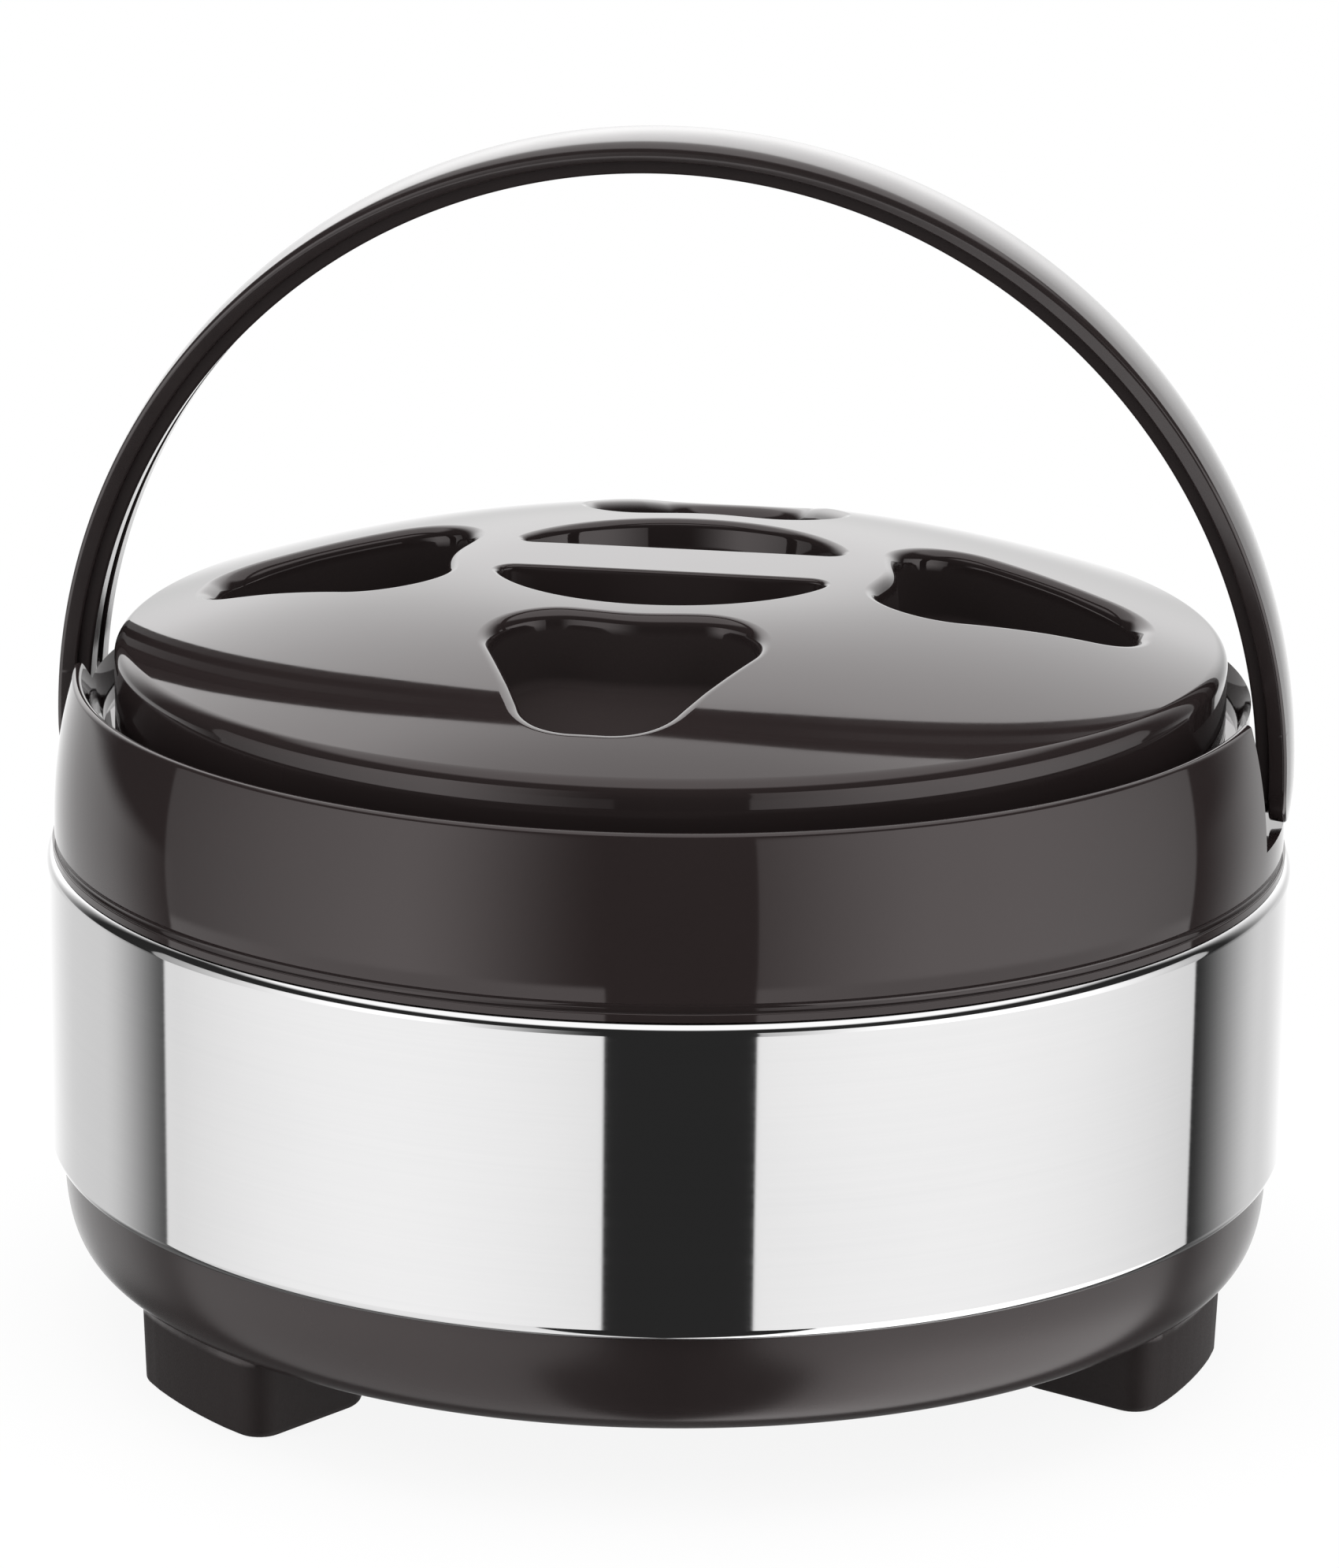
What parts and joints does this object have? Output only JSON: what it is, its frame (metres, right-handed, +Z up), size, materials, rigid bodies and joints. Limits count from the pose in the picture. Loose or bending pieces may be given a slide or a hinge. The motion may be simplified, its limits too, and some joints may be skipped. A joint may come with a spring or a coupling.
{
  "type": "insulated casserole dish",
  "caption": "Round insulated serving casserole: polished steel band, gloss collar, lift-off domed lid with petal recesses and a grip bar, folding bail handle, footed base.",
  "frame": {"origin": "on the dish's axis at the floor, under the middle of the three feet", "axes": "+Z up along the dish's axis, X through the two handle pivots, -Y towards the side the picture shows"},
  "size_m": [0.24, 0.24, 0.2333],
  "materials": {
    "polished_steel": "mirror-polished stainless steel",
    "pot_steel": "bright stainless steel sheet",
    "gloss_plastic": "high-gloss black moulding",
    "satin_plastic": "satin black moulding",
    "foam": "rigid polyurethane foam"
  },
  "bodies": {
    "pot": {"outer_shell": "polished_steel", "inner_pot": "pot_steel", "base_cover": "satin_plastic", "fill_plug": "satin_plastic", "body_insulation": "foam", "collar": "gloss_plastic"},
    "handle": {"handle": "satin_plastic"},
    "lid": {"lid_cover": "gloss_plastic", "lid_insulation": "foam", "lid_liner": "pot_steel"}
  },
  "joints": [
    {"name": "handle_swing", "type": "hinge", "parent": "pot", "child": "handle", "pos_m": [0, 0, 0.1134], "axis": [1, 0, 0], "range_deg": [-93, 27]},
    {"name": "lid_lift", "type": "slide", "parent": "pot", "child": "lid", "axis": [0, 0, 1], "range_m": [0, 0.015]}
  ]
}
